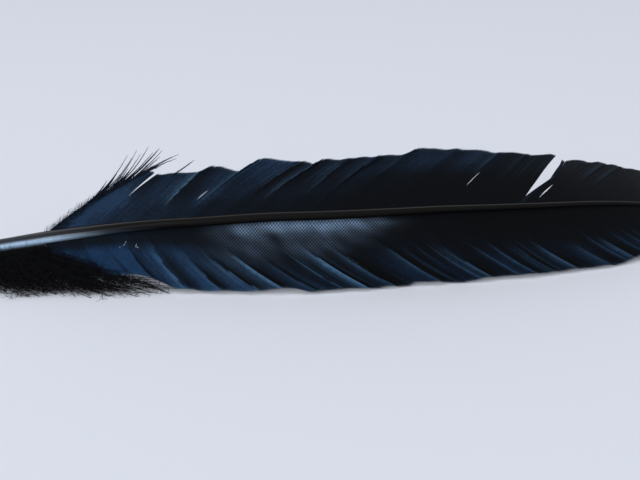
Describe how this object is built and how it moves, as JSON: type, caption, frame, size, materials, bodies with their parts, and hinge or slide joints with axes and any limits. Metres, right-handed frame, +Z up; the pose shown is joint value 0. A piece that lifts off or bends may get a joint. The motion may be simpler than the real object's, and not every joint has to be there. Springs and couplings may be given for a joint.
{
  "type": "turkey tail feather",
  "caption": "Dark tail feather lying at rest: a tapered shaft with a ribbed vane to each side, parted by two slits, and a tuft of down at the foot.",
  "frame": {"origin": "centre of the feather's box, on the surface that it lies on", "axes": "+X from the quill's end to the tip, +Z up, +Y from the near vane to the far one"},
  "size_m": [0.346, 0.0854, 0.046],
  "materials": {
    "vane": "satin, blue-black",
    "shaft": "horn, semi-gloss, dark brown",
    "down": "soft, matt, black"
  },
  "bodies": {
    "root": {"feather": "vane"}
  },
  "joints": []
}
